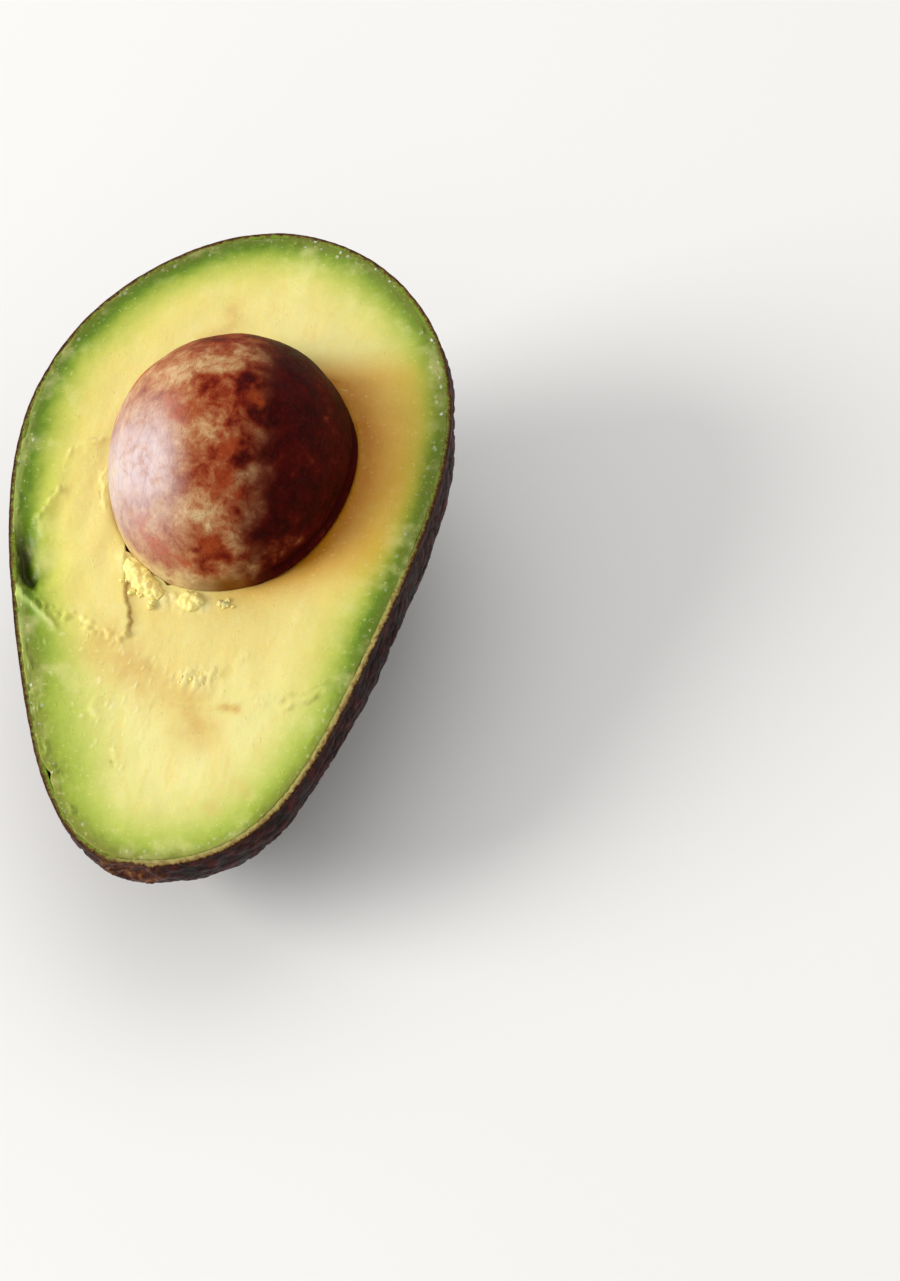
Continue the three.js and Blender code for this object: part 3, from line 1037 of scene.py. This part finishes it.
def make_stone():
    """The whole stone, wrinkled where it shows, with a mask for each marking of its coat."""
    drops, turns = polar_grid(STONE_ROWS, STONE_COLUMNS, 0.02)
    direction = np.stack(
        [np.sin(drops) * np.cos(turns), np.cos(drops), np.sin(drops) * np.sin(turns)], -1
    ).reshape(-1, 3)
    c = direction[:, 1]
    girth = stone_girth(c)
    points = np.stack([girth * direction[:, 0], 0.5 * STONE_LENGTH * c, girth * direction[:, 2]], 1)
    x, y, z = points.T
    fine = points * np.array([1.0, 0.5, 1.0])
    bumps = 0.35 * noise(points, 13.0, 91) + 0.12 * noise(points, 5.0, 92)
    bumps = bumps + 0.05 * layered(fine, 1.6, 93, 3)
    above = smooth(-0.5, 3.0, z)
    # a loose lip of the coat along the right of the contact
    angle = np.degrees(np.arctan2(y, x))
    lip = smooth(-62.0, -56.0, angle) * (1.0 - smooth(15.0, 48.0, angle))
    roll = 0.45 * bell(z - 0.5, 0.6) - 0.35 * bell(z - 1.7, 0.35)
    dark = lip * bell(z - 1.6, 0.5)
    # pale lavender film on the left: partly the coat's own film, partly a painted sheen
    bloom_and_sheen = smooth(-4.0, -11.5, x + 0.25 * y - 0.1 * z)
    bloom_and_sheen = bloom_and_sheen * smooth(0.0, 4.0, z) * bell(y + 8.0, 8.0)
    drift = 1.6 * noise(points, 4.0, 96)
    # paler to the left: partly the coat's own paler tone, partly painted light on the side that
    # faces the light
    pale_lit_side = smooth(0.0, -8.0, x + 0.2 * y + drift)
    # darker towards +x and the fat end: partly the coat's own dark maroon, partly painted shade on
    # the side away from the light
    shade = smooth(0.5, 8.5, x - 0.1 * z + 0.14 * y + drift)
    # flesh still stuck along the neck side of the contact
    under = smooth(-150.0, -128.0, angle) * (1.0 - smooth(-74.0, -64.0, angle))
    smear = under * (1.0 - smooth(1.4, 5.0, z + 1.2 * noise(points, 2.6, 99)))
    maroon = np.maximum(patched(points, MAROON_PATCHES, 241), 0.45 * smooth(7.0, 17.0, y))
    fields = {
        "shade": shade,
        "lip": dark,
        "bloom_and_sheen": bloom_and_sheen,
        "smear": smear,
        "pale_lit_side": pale_lit_side,
        "pale": patched(points, PALE_PATCHES, 201),
        "rust": patched(points, RUST_PATCHES, 221),
        "maroon": maroon,
    }
    points = points + (bumps * above + lip * roll)[:, None] * direction + STONE_CENTRE
    shape = (STONE_ROWS, STONE_COLUMNS)
    fields = {name: values.reshape(shape) for name, values in fields.items()}
    return ring_mesh("stone_seed", points.reshape(*shape, 3), fields, stone_material())


# ------------------------------------------------------------------ crumbs
HEAP_ROWS = 120
HEAP_COLUMNS = 64
CRUMB_ROWS = 16
CRUMB_COLUMNS = 24
# mashed flesh against the stone: centre line, half width and half height, mm
HEAPS = [
    ([(-11.9, -6.3), (-10.1, -8.3), (-7.9, -10.3), (-5.3, -11.9)], 1.75, 1.2),
    ([(-2.6, -11.6), (-0.7, -12.0), (1.4, -11.8)], 1.5, 1.1),
]
# loose crumbs: line they lie along, count, least and greatest size, mm
CRUMB_LINES = [
    ([(-12.0, -7.6), (-9.6, -11.2), (-5.4, -13.6)], 10, 0.6, 1.2),
    ([(2.0, -12.4), (3.7, -12.0), (5.8, -11.0)], 9, 0.5, 1.0),
    ([(1.8, -24.8), (4.2, -24.6), (6.4, -22.6)], 8, 0.4, 0.9),
]


def point_on(line, along):
    """Points on a polyline at places counted in segments from its start."""
    start = np.asarray(along).astype(int)
    part = (along - start)[..., None]
    return line[start] + (line[start + 1] - line[start]) * part


def heap(line, width, height):
    """A closed lumpy mass lying along a line."""
    rows, columns = HEAP_ROWS, HEAP_COLUMNS
    line = np.array(line)
    middle = point_on(line, np.linspace(0.0, len(line) - 1.001, rows))
    for _ in range(12):
        middle[1:-1] = 0.25 * middle[:-2] + 0.5 * middle[1:-1] + 0.25 * middle[2:]
    heading = np.gradient(middle, axis=0)
    heading /= np.linalg.norm(heading, axis=1, keepdims=True)
    across = np.stack([-heading[:, 1], heading[:, 0]], 1)
    t = np.linspace(-0.97, 0.97, rows)
    taper = (1.0 - t * t) ** 0.42
    turn = full_turn(columns)
    out = np.empty((rows, columns, 3))
    out[..., :2] = across[:, None, :] * np.cos(turn)[None, :, None]
    out[..., 2] = np.sin(turn)[None, :]
    size = np.array([width, width, height])
    points = out * size * taper[:, None, None]
    points[..., :2] += middle[:, None, :]
    flat = points.reshape(-1, 3)
    clots = 1.0 - cells(flat, 1.15, 97)[0]
    swell = 0.55 * (clots - 0.45) + 0.24 * layered(flat, 1.1, 98, 4)
    ends = np.repeat(smooth(0.0, 0.5, taper), columns)
    flat = flat + (swell * ends)[:, None] * out.reshape(-1, 3)
    return close_rings(flat.reshape(rows, columns, 3)), ring_faces(rows, columns)


def make_crumbs():
    """Both heaps and all the loose crumbs as one piece."""
    rng = np.random.default_rng(7)
    drops, turns = polar_grid(CRUMB_ROWS, CRUMB_COLUMNS, 0.12)
    ball = close_rings(
        np.stack([np.sin(drops) * np.cos(turns), np.sin(drops) * np.sin(turns), np.cos(drops)], -1)
    )
    ball_faces = [faces[:, ::-1] for faces in ring_faces(CRUMB_ROWS, CRUMB_COLUMNS)]
    lumps = [heap(*settings) for settings in HEAPS]
    for line, number, least, greatest in CRUMB_LINES:
        line = np.array(line)
        for _ in range(number):
            spot = point_on(line, rng.uniform(0.0, len(line) - 1.001))
            spot = spot + rng.normal(0.0, 0.6, 2)
            size = rng.uniform(least, greatest)
            lump = ball * rng.uniform(0.7, 1.15, 3)
            rough = layered(lump + rng.uniform(-50.0, 50.0, 3), 0.9, 95, 3)
            lump = lump * (1.0 + 0.45 * rough)[:, None] * 0.5 * size
            lumps.append((lump + np.array([*spot, 0.25 * size]), ball_faces))
    starts = np.cumsum([0] + [len(points) for points, _ in lumps])
    quads, triangles = (
        np.vstack([faces[kind] + start for (_, faces), start in zip(lumps, starts)])
        for kind in (0, 1)
    )
    points = to_part(np.vstack([points for points, _ in lumps]))
    return build_mesh("flesh_crumbs", points, quads, triangles, {}, crumb_material())


# ------------------------------------------------------------------ stage, light, camera
FLOOR_REACH = 3.0
WORLD_STRENGTH = 0.62
# name, direction it stands in, distance and size in m, power in W, tint
LAMPS = [
    ("key", (-0.81, -0.33, 0.485), 1.8, 1.0, 24.5, (1.0, 0.985, 0.965)),
    ("fill", (-0.1, 0.5, 0.85), 1.2, 1.0, 2.2, (1.0, 0.99, 0.97)),
]


def make_stage():
    """A plain floor under the part."""
    mesh = bpy.data.meshes.new("floor")
    r = FLOOR_REACH
    corners = [(-r, -r, 0.0), (r, -r, 0.0), (r, r, 0.0), (-r, r, 0.0)]
    mesh.from_pydata(corners, [], [(0, 1, 2, 3)])
    mesh.materials.append(floor_material())
    floor = bpy.data.objects.new("floor", mesh)
    bpy.context.scene.collection.objects.link(floor)


def add_light(name, direction, distance, size, power, tint):
    """A round area lamp that shines at the origin."""
    data = bpy.data.lights.new(name, "AREA")
    data.shape = "DISK"
    data.size = size
    data.energy = power
    data.color = tint
    lamp = bpy.data.objects.new(name, data)
    towards = Vector(direction).normalized()
    lamp.location = towards * distance
    lamp.rotation_euler = (-towards).to_track_quat("-Z", "Y").to_euler()
    bpy.context.scene.collection.objects.link(lamp)


def make_lights():
    """Soft studio light: the lamps and an even pale surround."""
    for lamp in LAMPS:
        add_light(*lamp)
    world = bpy.data.worlds.new("studio")
    world.use_nodes = True
    background = world.node_tree.nodes["Background"]
    background.inputs["Color"].default_value = (1.0, 0.992, 0.98, 1.0)
    background.inputs["Strength"].default_value = WORLD_STRENGTH
    bpy.context.scene.world = world


def make_camera():
    """The photograph's view, from its angle round, above and rolled."""
    aim = Vector(CAMERA_AIM) * MM
    out = Vector((
        math.sin(CAMERA_AZIMUTH) * math.cos(CAMERA_ELEVATION),
        -math.cos(CAMERA_AZIMUTH) * math.cos(CAMERA_ELEVATION),
        math.sin(CAMERA_ELEVATION),
    ))
    data = bpy.data.cameras.new("camera")
    data.sensor_width = CAMERA_SENSOR
    data.lens = CAMERA_LENS
    data.clip_start = 0.01
    camera = bpy.data.objects.new("camera", data)
    look = (-out).to_track_quat("-Z", "Y").to_matrix().to_4x4()
    turn = look @ Matrix.Rotation(CAMERA_ROLL, 4, "Z")
    camera.matrix_world = Matrix.Translation(aim + out * CAMERA_DISTANCE * MM) @ turn
    bpy.context.scene.collection.objects.link(camera)
    bpy.context.scene.camera = camera


make_stage()
make_lights()
make_camera()
bpy.context.scene.view_settings.view_transform = "Standard"

for piece, node, slot in (
    (make_skin(), "skin", "skin"),
    (make_flesh(), "flesh", "flesh"),
    (make_stone(), "stone", "stone"),
    (make_crumbs(), None, "flesh"),
):
    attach(piece, "root")
    if node:
        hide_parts(node)
